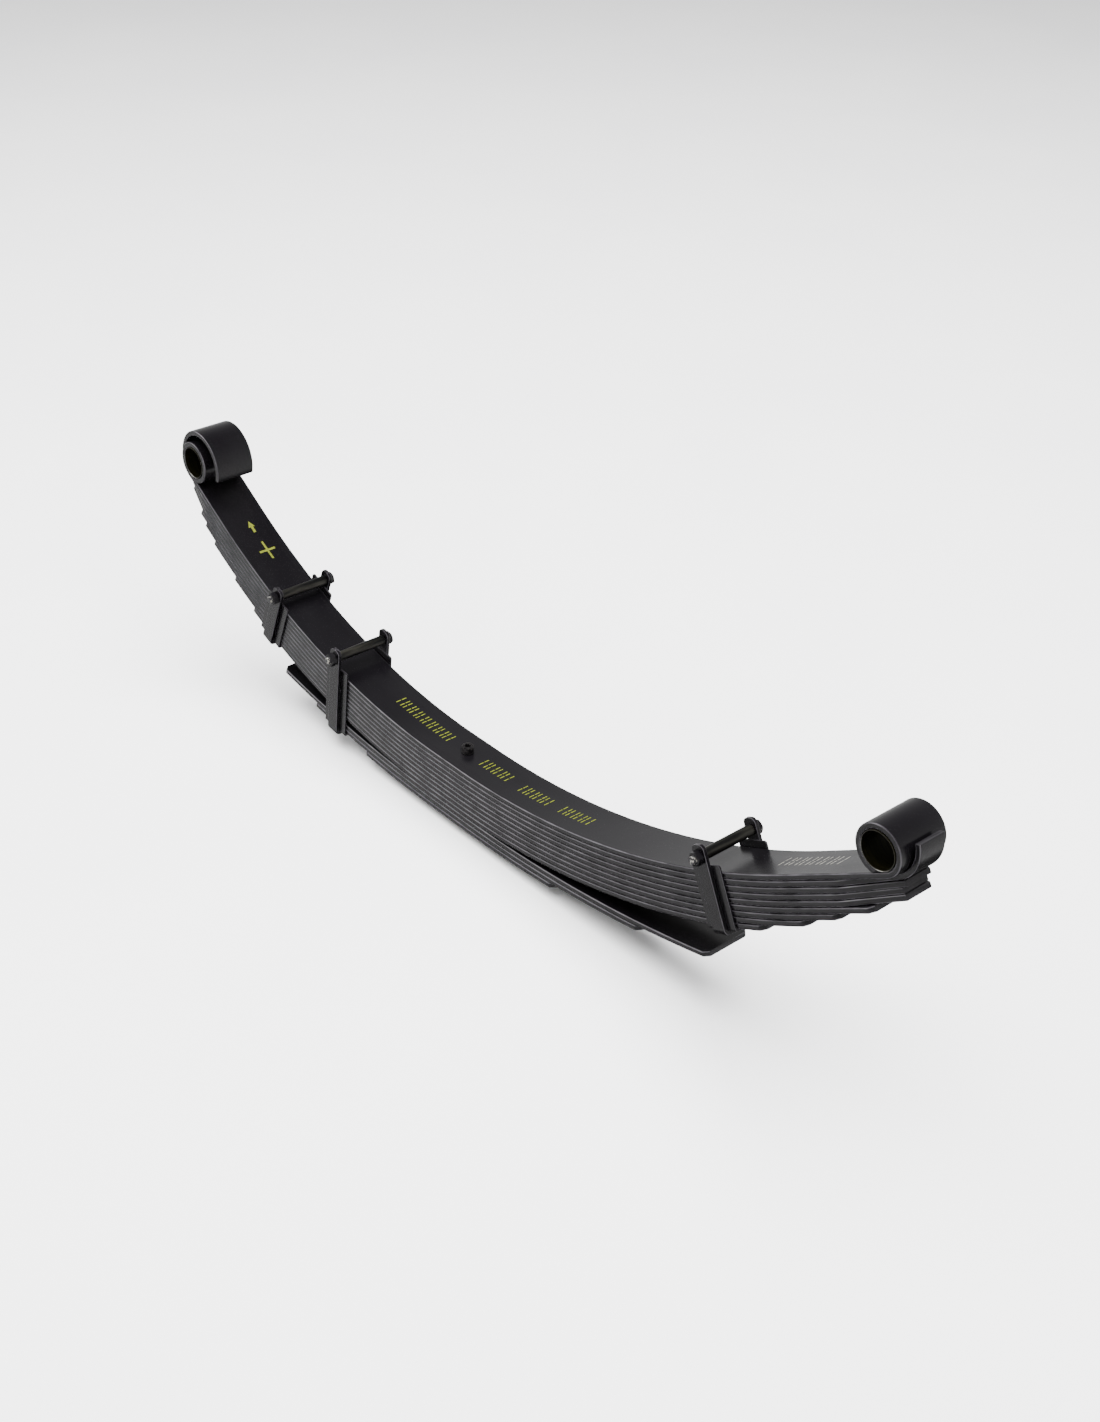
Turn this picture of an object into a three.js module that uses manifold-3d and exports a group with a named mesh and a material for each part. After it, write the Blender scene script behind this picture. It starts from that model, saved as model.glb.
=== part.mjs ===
// Semi-elliptic leaf spring: nine nested leaves, three flatter helper leaves below them,
// one centre bolt, three riveted rebound clips and a pressed sleeve in each rolled eye.
//
// Millimetres, +Z up. The origin is the centre-bolt axis at the top face of the main leaf.
// +X runs towards the rear eye, +Y across the leaves. Every leaf is one long strip; it is
// drawn as a front and a rear half that meet at the flex line just behind the centre bolt.
import * as THREE from 'three';
import { mergeVertices } from 'three/addons/utils/BufferGeometryUtils.js';
import Module from 'manifold-3d';

const radians = THREE.MathUtils.degToRad;
const hexRadius = (across) => across / Math.sqrt(3);

// ---- Driving dimensions -------------------------------------------------------------

const LEAF_WIDTH = 70;
const LEAF_THICKNESS = 7.3;
const LEAF_CHAMFER = 1;
const FIT_GAP = 0.3; // clearance between pieces that bear on each other
const PACK_LEAVES = 9; // full-curve leaves above the helpers

// A bow is the curve of a leaf's top face on one side of the centre bolt: flat, then an
// arc, then straight on. Lengths along it ("reach") start at the centre bolt. A helper's
// flat is longer than the main leaf's, so that it falls away from the pack on both sides.
const FRONT_BOW = { side: -1, flat: 29, radius: 916, bend: radians(32.65), step: radians(3) };
const REAR_BOW = { side: 1, flat: 20, radius: 1081, bend: radians(31.1), step: radians(3) };
const HELPER_BEND = { bend: radians(40), step: radians(1.5) };
const FRONT_HELPER_BOW = { side: -1, flat: FRONT_BOW.flat + 1, radius: 1750, ...HELPER_BEND };
const REAR_HELPER_BOW = { side: 1, flat: REAR_BOW.flat + 10, radius: 1900, ...HELPER_BEND };

const FRONT_EYE_REACH = 635;
const REAR_EYE_REACH = 763;
const EYE_BORE_RADIUS = 23.3;
const EYE_TIP_ANGLE = 30; // degrees left open between the rolled tip and the leaf
const EYE_TIP_GAP = 0.6;
const EYE_STEP = radians(12);

// A leaf's end narrows by `cut` on each side over its last `taperLength`.
// A wrap follows the eye up to `leave`, then opens out on a wider arc that ends at `end`.
const WRAP_RADIUS = 40;
const FRONT_WRAP = { leave: -40, end: 165, cut: 5.5, taperLength: 40 };
const REAR_WRAP = { leave: -75, end: -13, cut: 16, taperLength: 76 };
const WRAP_OVERLAP = 3; // how far a wrap's curl runs into its own straight strip, to join it

const SLEEVE_WALL = 1.2;
const SLEEVE_PROUD = 0.4;

// Reaches of the plain leaves, front and rear, with the plan shape of their ends.
const CLIPPED_END = { cut: 6, taperLength: 6 };
const FRONT_LONG_END = { cut: 8, taperLength: 45 };
const REAR_LONG_END = { cut: 16, taperLength: 80 };
const PLAIN_LEAVES = [
  { name: 'leaf_3', front: 630, rear: 770, frontEnd: FRONT_LONG_END, rearEnd: REAR_LONG_END },
  { name: 'leaf_4', front: 625, rear: 763, frontEnd: FRONT_LONG_END, rearEnd: REAR_LONG_END },
  { name: 'leaf_5', front: 592, rear: 764, frontEnd: CLIPPED_END, rearEnd: REAR_LONG_END },
  { name: 'leaf_6', front: 575, rear: 726, frontEnd: CLIPPED_END, rearEnd: CLIPPED_END },
  { name: 'leaf_7', front: 547, rear: 672, frontEnd: CLIPPED_END, rearEnd: CLIPPED_END },
  { name: 'leaf_8', front: 489, rear: 619, frontEnd: CLIPPED_END, rearEnd: CLIPPED_END },
  { name: 'leaf_9', front: 438, rear: 551, frontEnd: CLIPPED_END, rearEnd: CLIPPED_END },
];
const HELPER_LEAVES = [
  { name: 'helper_leaf_10', front: 379, rear: 483 },
  { name: 'helper_leaf_11', front: 303, rear: 367 },
  { name: 'helper_leaf_12', front: 185, rear: 210 },
];

const CENTRE_BOLT = { shankRadius: 5, headRadius: 8, headHeight: 10, headEdge: 1 };
const CENTRE_SOCKET = { across: 8, depth: 5 };
const CENTRE_NUT = { across: 17, height: 8 };
const BOLT_END = 4; // thread showing past a nut
const FLEX_MARGIN = 4; // leaf left between the centre nut and the flex line

// lowest: number of the lowest leaf that the clip embraces. rise: bolt axis above the main leaf.
const CLIPS = [
  { name: 'front_clip', side: -1, reach: 387, lowest: 9, rise: 16.6 },
  { name: 'middle_clip', side: -1, reach: 240, lowest: 11, rise: 25 },
  { name: 'rear_clip', side: 1, reach: 489, lowest: 9, rise: 20 },
];
const STRAP = { thickness: 5, width: 20, cornerRadius: 8, aboveBolt: 14, headCorner: 7 };
const LINER = { thickness: 2.5, width: 46, cornerRadius: 3, rise: 8.5, topChamfer: 2 };
const CLIP_BOLT = { radius: 5, headAcross: 16, headHeight: 6.4 };
const CLIP_NUT = { across: 16, height: 8.4 };
const TUBE_WALL = 1.5;
const RIVET = { radius: 4, headRadius: 8, headHeight: 4.5, crownRadius: 4.8, rimHeight: 1.5 };

// ---- Values worked out from the dimensions --------------------------------------------

const PITCH = LEAF_THICKNESS + FIT_GAP;
const HELPER_TOP = PACK_LEAVES * PITCH; // depth of the first helper's top face
const LEAF_COUNT = PACK_LEAVES + HELPER_LEAVES.length;
const PACK_DEPTH = LEAF_COUNT * PITCH - FIT_GAP;
const EYE_RADIUS = EYE_BORE_RADIUS + LEAF_THICKNESS;
const FLEX_X = hexRadius(CENTRE_NUT.across) + FLEX_MARGIN;
const CENTRE_HOLE_RADIUS = CENTRE_BOLT.shankRadius + FIT_GAP;
const CLIP_HOLE_RADIUS = CLIP_BOLT.radius + FIT_GAP;
const LINER_INSIDE = LEAF_WIDTH / 2 + FIT_GAP;
const STRAP_INSIDE = LINER_INSIDE + LINER.thickness + FIT_GAP;
const STRAP_OUTSIDE = STRAP_INSIDE + STRAP.thickness;
const ROUND_SIDES = 20;

// ---- Solids ----------------------------------------------------------------------------

const wasm = await Module();
wasm.setup();

/** Turns a closed three.js geometry into a solid that can be joined and cut. */
function toSolid(geometry, matrix) {
  const bare = geometry.index ? geometry.toNonIndexed() : geometry.clone();
  bare.deleteAttribute('normal');
  bare.deleteAttribute('uv');
  if (matrix) bare.applyMatrix4(matrix);
  const merged = mergeVertices(bare, 1e-4);
  return new wasm.Manifold(new wasm.Mesh({
    numProp: 3,
    vertProperties: new Float32Array(merged.attributes.position.array),
    triVerts: new Uint32Array(merged.index.array),
  }));
}

function toGeometry(solid) {
  const mesh = solid.getMesh();
  const geometry = new THREE.BufferGeometry();
  geometry.setAttribute('position', new THREE.BufferAttribute(mesh.vertProperties, 3));
  geometry.setIndex(new THREE.BufferAttribute(mesh.triVerts, 1));
  geometry.computeVertexNormals();
  return geometry;
}

/** An outline in X and Z, extruded across the spring and centred on Y = 0. */
function acrossSolid(outline, width, chamfer) {
  const geometry = new THREE.ExtrudeGeometry(new THREE.Shape(outline), {
    depth: width - 2 * chamfer,
    bevelEnabled: chamfer > 0,
    bevelThickness: chamfer,
    bevelSize: chamfer,
    bevelOffset: -chamfer,
    bevelSegments: 1,
    curveSegments: ROUND_SIDES,
  });
  const turn = new THREE.Matrix4().makeRotationX(Math.PI / 2);
  turn.setPosition(0, width / 2 - chamfer, 0);
  return toSolid(geometry, turn);
}

/** A solid of revolution about Y from a closed list of [radius, y]. */
function turnedSolid(profile, sides = ROUND_SIDES) {
  const points = profile.map(([r, y]) => new THREE.Vector2(r, y));
  return toSolid(new THREE.LatheGeometry(points, sides));
}

/** A round or hexagonal bar about Y between two heights. */
function barSolid(radius, low, high, sides = ROUND_SIDES) {
  const geometry = new THREE.CylinderGeometry(radius, radius, high - low, sides);
  return toSolid(geometry, new THREE.Matrix4().makeTranslation(0, (low + high) / 2, 0));
}

/** The same bar about Z. */
function postSolid(radius, low, high, sides = ROUND_SIDES) {
  return barSolid(radius, low, high, sides).rotate([90, 0, 0]);
}

// ---- Leaf curves -------------------------------------------------------------------------

/** Point at a reach along a bow, `depth` below the bow's own top face, and the slope there. */
function onBow(bow, reach, depth) {
  const slope = THREE.MathUtils.clamp((reach - bow.flat) / bow.radius, 0, bow.bend);
  const beyond = reach - bow.flat - bow.radius * slope;
  const x = bow.flat + (bow.radius + depth) * Math.sin(slope) + beyond * Math.cos(slope);
  const z = bow.radius - (bow.radius + depth) * Math.cos(slope) + beyond * Math.sin(slope);
  return { x: bow.side * x, z, slope };
}

/** Reaches at which a leaf's outline has a corner between its two ends. */
function stations(bow, start, end) {
  const arcEnd = bow.flat + bow.radius * bow.bend;
  const count = Math.ceil(bow.bend / bow.step);
  const inner = [];
  for (let i = 0; i <= count; i += 1) inner.push(bow.flat + (arcEnd - bow.flat) * (i / count));
  return [start, ...inner.filter((reach) => reach > start && reach < end), end];
}

/** One face of a leaf as outline points; `top` is the depth of the bow's face below Z = 0. */
function facePoints(bow, start, end, top, depth) {
  return stations(bow, start, end).map((reach) => {
    const { x, z } = onBow(bow, reach, depth);
    return new THREE.Vector2(x, z - top);
  });
}

/** Points on an arc about a centre given in an eye's own frame: u outwards, v up. */
function arcPoints(frame, centre, radius, from, to) {
  const count = Math.max(2, Math.ceil(Math.abs(to - from) / EYE_STEP));
  const points = [];
  for (let i = 0; i <= count; i += 1) {
    const angle = from + (to - from) * (i / count);
    points.push(frame(centre[0] + radius * Math.cos(angle), centre[1] + radius * Math.sin(angle)));
  }
  return points;
}

/** The frame of an eye: its centre stands EYE_BORE_RADIUS above the main leaf's top face. */
function eyeFrame(bow, reach) {
  const foot = onBow(bow, reach, 0);
  const along = new THREE.Vector2(bow.side * Math.cos(foot.slope), Math.sin(foot.slope));
  const up = new THREE.Vector2(-bow.side * Math.sin(foot.slope), Math.cos(foot.slope));
  const centre = new THREE.Vector2(foot.x, foot.z).addScaledVector(up, EYE_BORE_RADIUS);
  const frame = (u, v) => centre.clone().addScaledVector(along, u).addScaledVector(up, v);
  return { frame, centre };
}

/** Keeps what lies inside a plan outline that narrows from full width to an end width. */
function trimPlan(solid, bow, depth, reach, end) {
  const narrow = Math.abs(onBow(bow, reach - end.taperLength, depth).x);
  const tip = Math.abs(onBow(bow, reach, depth).x);
  const slope = end.cut / (tip - narrow);
  const past = tip + 2 * LEAF_THICKNESS;
  const wide = LEAF_WIDTH / 2 + LEAF_CHAMFER;
  const pastHalf = LEAF_WIDTH / 2 - end.cut - slope * (past - tip);
  const wideAt = narrow - LEAF_CHAMFER / slope;
  const corners = [[-2 * FLEX_X, wide], [wideAt, wide], [past, pastHalf]];
  const outline = [...corners, ...corners.map(([x, y]) => [x, -y]).reverse()];
  const shape = new THREE.Shape(outline.map(([x, y]) => new THREE.Vector2(bow.side * x, y)));
  const height = 2 * bow.radius;
  const prism = new THREE.ExtrudeGeometry(shape, { depth: height, bevelEnabled: false });
  return solid.intersect(toSolid(prism, new THREE.Matrix4().makeTranslation(0, 0, -height / 2)));
}

// ---- Leaves ------------------------------------------------------------------------------

/** Start of a half leaf: the front half holds the centre bolt, the rear half begins past it. */
const startOf = (bow) => bow.side * FLEX_X + FIT_GAP / 2;

/** A half leaf without an eye. */
function plainHalf(bow, top, depth, reach, end) {
  const upper = facePoints(bow, startOf(bow), reach, top, depth);
  const lower = facePoints(bow, startOf(bow), reach, top, depth + LEAF_THICKNESS);
  const strip = acrossSolid([...upper, ...lower.reverse()], LEAF_WIDTH, LEAF_CHAMFER);
  return trimPlan(strip, bow, depth, reach, end);
}

/** A half of the main leaf, rolled up and over into its eye. */
function mainHalf(bow, eyeReach) {
  const { frame } = eyeFrame(bow, eyeReach);
  const tip = radians(270 - EYE_TIP_ANGLE);
  const floor = EYE_BORE_RADIUS - EYE_TIP_GAP;
  const meets = Math.PI + Math.asin(floor / EYE_RADIUS);
  const bottom = -Math.PI / 2;
  const upper = facePoints(bow, startOf(bow), eyeReach, 0, 0);
  const lower = facePoints(bow, startOf(bow), eyeReach, 0, LEAF_THICKNESS);
  const outline = [
    ...upper,
    ...arcPoints(frame, [0, 0], EYE_BORE_RADIUS, bottom, tip).slice(1),
    frame(-floor / Math.tan(tip - Math.PI), -floor),
    ...arcPoints(frame, [0, 0], EYE_RADIUS, meets, bottom).slice(0, -1),
    ...lower.reverse(),
  ];
  return acrossSolid(outline, LEAF_WIDTH, LEAF_CHAMFER);
}

/** A half of the second leaf, which wraps around the outside of the main leaf's eye. */
function wrapHalf(bow, eyeReach, wrap) {
  const { frame } = eyeFrame(bow, eyeReach);
  const close = EYE_RADIUS + FIT_GAP;
  const leave = radians(wrap.leave);
  const end = radians(wrap.end);
  const bottom = -Math.PI / 2;
  const shift = close - WRAP_RADIUS;
  const centre = [shift * Math.cos(leave), shift * Math.sin(leave)];
  const curl = [
    frame(-WRAP_OVERLAP, -close),
    ...arcPoints(frame, [0, 0], close, bottom, leave),
    ...arcPoints(frame, centre, WRAP_RADIUS, leave, end).slice(1),
    ...arcPoints(frame, centre, WRAP_RADIUS + LEAF_THICKNESS, end, leave),
    ...arcPoints(frame, [0, 0], close + LEAF_THICKNESS, leave, bottom).slice(1),
    frame(-WRAP_OVERLAP, -close - LEAF_THICKNESS),
  ];
  const strip = plainHalf(bow, 0, PITCH, eyeReach, wrap);
  return strip.add(acrossSolid(curl, LEAF_WIDTH - 2 * wrap.cut, LEAF_CHAMFER));
}

// ---- Clips -------------------------------------------------------------------------------

/** Where a clip stands: on the main leaf's top face, square to the lowest leaf it embraces. */
function clipPlace(clip) {
  const onHelper = clip.lowest > PACK_LEAVES;
  const mainBow = clip.side < 0 ? FRONT_BOW : REAR_BOW;
  const helperBow = clip.side < 0 ? FRONT_HELPER_BOW : REAR_HELPER_BOW;
  const seat = onBow(mainBow, clip.reach, 0);
  const bow = onHelper ? helperBow : mainBow;
  const top = onHelper ? HELPER_TOP : 0;
  const fromCentre = new THREE.Vector2(Math.abs(seat.x) - bow.flat, bow.radius - top - seat.z);
  const lowestBottom = clip.lowest * PITCH - FIT_GAP - top;
  const drop = bow.radius + lowestBottom - fromCentre.length();
  const slope = Math.atan2(fromCentre.x, fromCentre.y);
  const matrix = new THREE.Matrix4().makeRotationY(-clip.side * slope);
  matrix.setPosition(seat.x, 0, seat.z);
  return { matrix, drop };
}

/** A U-shaped band in Y and Z, open at the top, extruded along X and centred on it. */
function channelSolid(inside, bottom, topZ, thickness, cornerRadius, width) {
  const outside = inside + thickness;
  const base = bottom - thickness;
  const innerCorner = Math.max(cornerRadius - thickness, FIT_GAP);
  const shape = new THREE.Shape();
  shape.moveTo(outside, topZ);
  shape.lineTo(inside, topZ);
  shape.lineTo(inside, bottom + innerCorner);
  shape.absarc(inside - innerCorner, bottom + innerCorner, innerCorner, 0, -Math.PI / 2, true);
  shape.lineTo(-inside + innerCorner, bottom);
  shape.absarc(-inside + innerCorner, bottom + innerCorner, innerCorner, -Math.PI / 2, -Math.PI, true);
  shape.lineTo(-inside, topZ);
  shape.lineTo(-outside, topZ);
  shape.lineTo(-outside, base + cornerRadius);
  shape.absarc(-outside + cornerRadius, base + cornerRadius, cornerRadius, Math.PI, 1.5 * Math.PI, false);
  shape.lineTo(outside - cornerRadius, base);
  shape.absarc(outside - cornerRadius, base + cornerRadius, cornerRadius, -Math.PI / 2, 0, false);
  const geometry = new THREE.ExtrudeGeometry(shape, { depth: width, bevelEnabled: false, curveSegments: 4 });
  const turn = new THREE.Matrix4().makeBasis(
    new THREE.Vector3(0, 1, 0),
    new THREE.Vector3(0, 0, 1),
    new THREE.Vector3(1, 0, 0),
  );
  turn.setPosition(-width / 2, 0, 0);
  return toSolid(geometry, turn);
}

/** The outline that both legs of a strap are cut to, seen from the side. */
function strapLegs(headZ, low) {
  const half = STRAP.width / 2;
  const radius = STRAP.headCorner;
  const outline = [new THREE.Vector2(-half, low), new THREE.Vector2(half, low)];
  const count = ROUND_SIDES / 4;
  for (const side of [1, -1]) {
    for (let i = 0; i <= count; i += 1) {
      const share = side > 0 ? i / count : 1 - i / count;
      const angle = (Math.PI / 2) * share;
      const x = half - radius + radius * Math.cos(angle);
      outline.push(new THREE.Vector2(side * x, headZ - radius + radius * Math.sin(angle)));
    }
  }
  return acrossSolid(outline, 4 * STRAP_OUTSIDE, 0);
}

/** The outline that both legs of a liner are cut to, with its top corners taken off. */
function linerLegs(low) {
  const half = LINER.width / 2;
  const { rise, topChamfer } = LINER;
  const corners = [[-half, low], [half, low], [half, rise - topChamfer], [half - topChamfer, rise]];
  corners.push([topChamfer - half, rise], [-half, rise - topChamfer]);
  return acrossSolid(corners.map(([x, z]) => new THREE.Vector2(x, z)), 4 * STRAP_OUTSIDE, 0);
}

/** The pieces of one clip in its own frame, with the lowest leaf's underside at -drop. */
function clipPieces(clip, drop) {
  const linerBottom = -drop - FIT_GAP;
  const strapBottom = linerBottom - LINER.thickness - FIT_GAP;
  const underside = strapBottom - STRAP.thickness;
  const low = underside - STRAP.thickness;
  const headZ = clip.rise + STRAP.aboveBolt;
  const rivetHole = postSolid(RIVET.radius + FIT_GAP, low, 0);
  const boltHole = barSolid(CLIP_HOLE_RADIUS, -2 * STRAP_OUTSIDE, 2 * STRAP_OUTSIDE)
    .translate([0, 0, clip.rise]);

  const strap = channelSolid(STRAP_INSIDE, strapBottom, headZ, STRAP.thickness, STRAP.cornerRadius,
    STRAP.width).intersect(strapLegs(headZ, low)).subtract(boltHole).subtract(rivetHole);
  const liner = channelSolid(LINER_INSIDE, linerBottom, LINER.rise, LINER.thickness, LINER.cornerRadius,
    LINER.width).intersect(linerLegs(low)).subtract(rivetHole);

  const tubeEnd = STRAP_INSIDE - FIT_GAP;
  const tubeRadius = CLIP_HOLE_RADIUS + TUBE_WALL;
  const tube = turnedSolid([
    [CLIP_HOLE_RADIUS, -tubeEnd], [tubeRadius, -tubeEnd], [tubeRadius, tubeEnd],
    [CLIP_HOLE_RADIUS, tubeEnd], [CLIP_HOLE_RADIUS, -tubeEnd],
  ]);

  const headStart = STRAP_OUTSIDE + FIT_GAP;
  const nutEnd = headStart + CLIP_NUT.height;
  const bolt = barSolid(hexRadius(CLIP_BOLT.headAcross), headStart, headStart + CLIP_BOLT.headHeight, 6)
    .add(barSolid(CLIP_BOLT.radius, -nutEnd - BOLT_END, headStart + CLIP_BOLT.headHeight / 2));
  const nut = barSolid(hexRadius(CLIP_NUT.across), -nutEnd, -headStart, 6)
    .subtract(barSolid(CLIP_HOLE_RADIUS, -2 * nutEnd, 0));

  const rivetTop = linerBottom + LEAF_THICKNESS;
  const rivetSeat = underside - FIT_GAP;
  const rivetEnd = rivetSeat - RIVET.headHeight;
  const rivet = turnedSolid([
    [0, rivetEnd], [RIVET.crownRadius, rivetEnd], [RIVET.headRadius, rivetSeat - RIVET.rimHeight],
    [RIVET.headRadius, rivetSeat], [RIVET.radius, rivetSeat], [RIVET.radius, rivetTop], [0, rivetTop],
  ]).rotate([90, 0, 0]);

  const raise = (solid) => solid.translate([0, 0, clip.rise]);
  return { strap, liner, tube: raise(tube), bolt: raise(bolt), nut: raise(nut), rivet };
}

// ---- Assembly ----------------------------------------------------------------------------

const spring = new THREE.Group();

const paint = { color: 0x1b1a1d, roughness: 0.38, metalness: 0 };
const blackOxide = { color: 0x141416, roughness: 0.45, metalness: 0.6 };
const zinc = { color: 0xa8a69c, roughness: 0.35, metalness: 0.9 };
const oliveZinc = { color: 0x5a5138, roughness: 0.4, metalness: 0.8 };

function addPiece(name, solid, finish, matrix) {
  const mesh = new THREE.Mesh(toGeometry(solid), new THREE.MeshStandardMaterial(finish));
  mesh.name = name;
  if (matrix) {
    mesh.applyMatrix4(matrix);
  }
  spring.add(mesh);
}

const places = CLIPS.map((clip) => ({ clip, ...clipPlace(clip) }));

/** Bores a half leaf for the centre bolt and for the rivet of a clip that it carries. */
function boreLeaf(solid, side, number) {
  let bored = solid;
  if (side < 0) bored = bored.subtract(postSolid(CENTRE_HOLE_RADIUS, -2 * PACK_DEPTH, PACK_DEPTH));
  for (const { clip, matrix, drop } of places) {
    if (clip.side === side && clip.lowest === number) {
      const hole = postSolid(RIVET.radius + FIT_GAP, -drop - LEAF_THICKNESS, -drop + 2 * LEAF_THICKNESS);
      bored = bored.subtract(hole.transform(matrix.elements));
    }
  }
  return bored;
}

function addLeaf(name, number, frontSolid, rearSolid) {
  addPiece(`${name}_front`, boreLeaf(frontSolid, FRONT_BOW.side, number), paint);
  addPiece(`${name}_rear`, boreLeaf(rearSolid, REAR_BOW.side, number), paint);
}

addLeaf('main_leaf', 1, mainHalf(FRONT_BOW, FRONT_EYE_REACH), mainHalf(REAR_BOW, REAR_EYE_REACH));
addLeaf('wrap_leaf', 2, wrapHalf(FRONT_BOW, FRONT_EYE_REACH, FRONT_WRAP),
  wrapHalf(REAR_BOW, REAR_EYE_REACH, REAR_WRAP));
PLAIN_LEAVES.forEach((leaf, i) => {
  const depth = (i + 2) * PITCH;
  addLeaf(leaf.name, i + 3, plainHalf(FRONT_BOW, 0, depth, leaf.front, leaf.frontEnd),
    plainHalf(REAR_BOW, 0, depth, leaf.rear, leaf.rearEnd));
});
HELPER_LEAVES.forEach((leaf, i) => {
  const depth = i * PITCH;
  addLeaf(leaf.name, PACK_LEAVES + 1 + i,
    plainHalf(FRONT_HELPER_BOW, HELPER_TOP, depth, leaf.front, CLIPPED_END),
    plainHalf(REAR_HELPER_BOW, HELPER_TOP, depth, leaf.rear, CLIPPED_END));
});

// Pressed sleeves, one in each eye.
const sleeveOutside = EYE_BORE_RADIUS - FIT_GAP;
const sleeveEnd = LEAF_WIDTH / 2 + SLEEVE_PROUD;
for (const [name, bow, reach] of [
  ['front_eye_sleeve', FRONT_BOW, FRONT_EYE_REACH],
  ['rear_eye_sleeve', REAR_BOW, REAR_EYE_REACH],
]) {
  const bore = sleeveOutside - SLEEVE_WALL;
  const ring = turnedSolid([
    [bore, -sleeveEnd], [sleeveOutside, -sleeveEnd], [sleeveOutside, sleeveEnd],
    [bore, sleeveEnd], [bore, -sleeveEnd],
  ], 2 * Math.round(Math.PI / EYE_STEP));
  const { centre } = eyeFrame(bow, reach);
  addPiece(name, ring, oliveZinc, new THREE.Matrix4().makeTranslation(centre.x, 0, centre.y));
}

// Centre bolt, head up, and its nut below the last helper leaf.
const nutTop = -PACK_DEPTH - FIT_GAP;
const nutBottom = nutTop - CENTRE_NUT.height;
const headTop = FIT_GAP + CENTRE_BOLT.headHeight;
const centreBolt = turnedSolid([
  [0, nutBottom - BOLT_END], [CENTRE_BOLT.shankRadius, nutBottom - BOLT_END],
  [CENTRE_BOLT.shankRadius, FIT_GAP], [CENTRE_BOLT.headRadius, FIT_GAP],
  [CENTRE_BOLT.headRadius, headTop - CENTRE_BOLT.headEdge],
  [CENTRE_BOLT.headRadius - CENTRE_BOLT.headEdge, headTop], [0, headTop],
]).rotate([90, 0, 0]);
const socket = postSolid(hexRadius(CENTRE_SOCKET.across), headTop - CENTRE_SOCKET.depth, 2 * headTop, 6);
addPiece('centre_bolt', centreBolt.subtract(socket), blackOxide);
addPiece('centre_nut', postSolid(hexRadius(CENTRE_NUT.across), nutBottom, nutTop, 6)
  .subtract(postSolid(CENTRE_HOLE_RADIUS, 2 * nutBottom, 0)), blackOxide);

// Rebound clips.
const clipFinish = { strap: paint, liner: paint, tube: oliveZinc, bolt: zinc, nut: zinc, rivet: paint };
for (const { clip, matrix, drop } of places) {
  for (const [piece, solid] of Object.entries(clipPieces(clip, drop))) {
    addPiece(`${clip.name}_${piece}`, solid, clipFinish[piece], matrix);
  }
}

export default spring;
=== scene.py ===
import math

import bmesh
import bpy
from bpy.props import FloatProperty, FloatVectorProperty, PointerProperty
from bpy.types import Operator, Panel, PropertyGroup
from mathutils import Matrix, Vector


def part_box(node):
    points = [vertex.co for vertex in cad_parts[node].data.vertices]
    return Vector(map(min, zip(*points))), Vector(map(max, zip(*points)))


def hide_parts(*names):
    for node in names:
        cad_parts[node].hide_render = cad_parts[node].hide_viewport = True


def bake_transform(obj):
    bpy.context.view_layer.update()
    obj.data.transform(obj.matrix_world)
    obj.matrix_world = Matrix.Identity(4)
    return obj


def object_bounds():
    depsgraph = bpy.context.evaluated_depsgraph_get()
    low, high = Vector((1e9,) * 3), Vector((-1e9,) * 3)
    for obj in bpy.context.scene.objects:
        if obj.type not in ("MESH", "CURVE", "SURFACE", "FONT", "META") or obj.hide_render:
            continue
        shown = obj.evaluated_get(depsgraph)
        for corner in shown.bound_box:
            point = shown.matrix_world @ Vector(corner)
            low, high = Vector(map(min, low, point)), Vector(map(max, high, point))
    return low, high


bl_info = {
    "name": "Leaf Spring",
    "version": (1, 0, 0),
    "blender": (4, 5, 0),
    "location": "3D View > Sidebar > Leaf Spring",
    "description": "Builds the leaves, eyes, clips and fasteners of a leaf spring around its frame",
    "category": "Object",
}

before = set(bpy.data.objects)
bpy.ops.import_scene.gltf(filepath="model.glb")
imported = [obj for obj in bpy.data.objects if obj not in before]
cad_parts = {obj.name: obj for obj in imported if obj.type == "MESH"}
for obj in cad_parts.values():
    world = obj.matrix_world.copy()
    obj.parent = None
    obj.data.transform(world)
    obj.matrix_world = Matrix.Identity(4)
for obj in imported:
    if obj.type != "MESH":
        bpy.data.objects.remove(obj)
CAD_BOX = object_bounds()

# ---- Sizes, in millimetres -------------------------------------------------------------

MM = 0.001
FIT_GAP = 0.3
LEAF_THICKNESS = 7.3
PITCH = LEAF_THICKNESS + FIT_GAP
PACK_LEAVES = 9
HELPER_TOP = PACK_LEAVES * PITCH

# The curve of a leaf's top face on one side of the centre bolt: flat, an arc, then straight.
FRONT_BOW = {"side": -1, "flat": 29, "radius": 916, "bend": math.radians(32.65)}
REAR_BOW = {"side": 1, "flat": 20, "radius": 1081, "bend": math.radians(31.1)}
FRONT_HELPER_BOW = {"side": -1, "flat": 30, "radius": 1750, "bend": math.radians(40)}
REAR_HELPER_BOW = {"side": 1, "flat": 30, "radius": 1900, "bend": math.radians(40)}

FRONT_EYE_REACH = 635
REAR_EYE_REACH = 763
EYE_BORE_RADIUS = 23.3
EYE_RADIUS = EYE_BORE_RADIUS + LEAF_THICKNESS
EYE_TIP = math.radians(240)
EYE_TIP_GAP = 0.6
EYE_STEP = math.radians(5)
EYE_FOOT = -math.pi / 2
WRAP_RADIUS = 40
FRONT_WRAP = {"leave": math.radians(-40), "end": math.radians(165), "half": 29.5, "taper": 40}
REAR_WRAP = {"leave": math.radians(-75), "end": math.radians(-13), "half": 19, "taper": 76}
SLEEVE_WALL = 1.2
SLEEVE_PROUD = 0.4

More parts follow.
